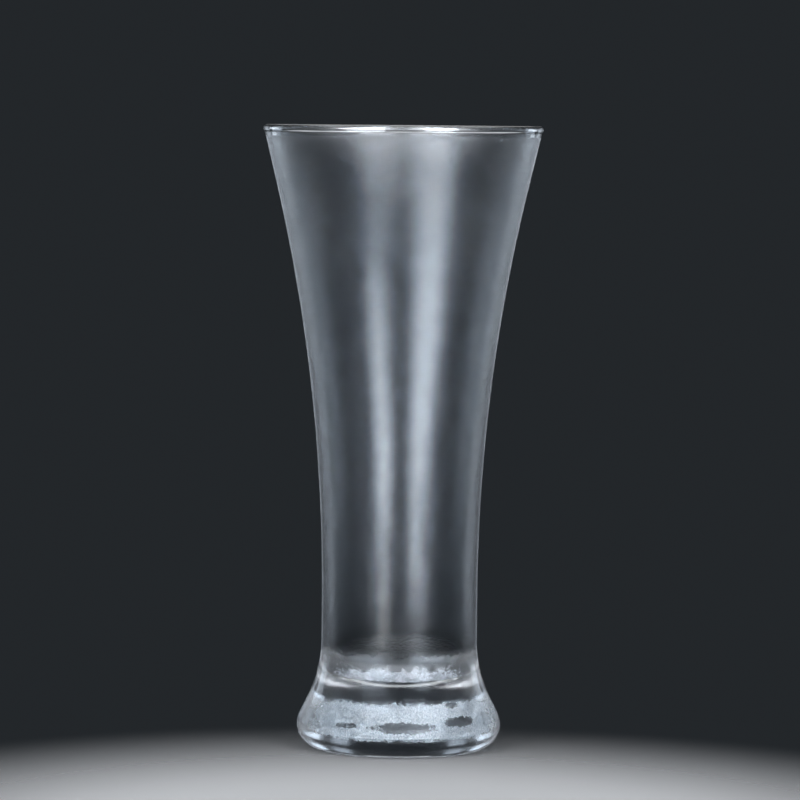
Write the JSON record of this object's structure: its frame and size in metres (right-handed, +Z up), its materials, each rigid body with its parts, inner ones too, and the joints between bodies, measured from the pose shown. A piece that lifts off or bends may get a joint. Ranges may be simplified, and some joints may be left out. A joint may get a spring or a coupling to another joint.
{
  "type": "flared beer glass",
  "caption": "Tall flared beer glass with a narrow straight waist, a rounded polished lip and a heavy solid foot, for holding a cold drink.",
  "frame": {"origin": "centre of the base, on the plane that the glass stands on", "axes": "+Z up along the axis of revolution; X and Y are free, because the glass is round"},
  "size_m": [0.0806, 0.0806, 0.18],
  "materials": {
    "lip_glass": "clear, fire-polished",
    "bowl_glass": "clear glass under a fine even frost",
    "foot_glass": "clear heavy glass, frosted in patches"
  },
  "bodies": {
    "root": {"rim_bead": "lip_glass", "bowl": "bowl_glass", "foot": "foot_glass"}
  },
  "joints": []
}
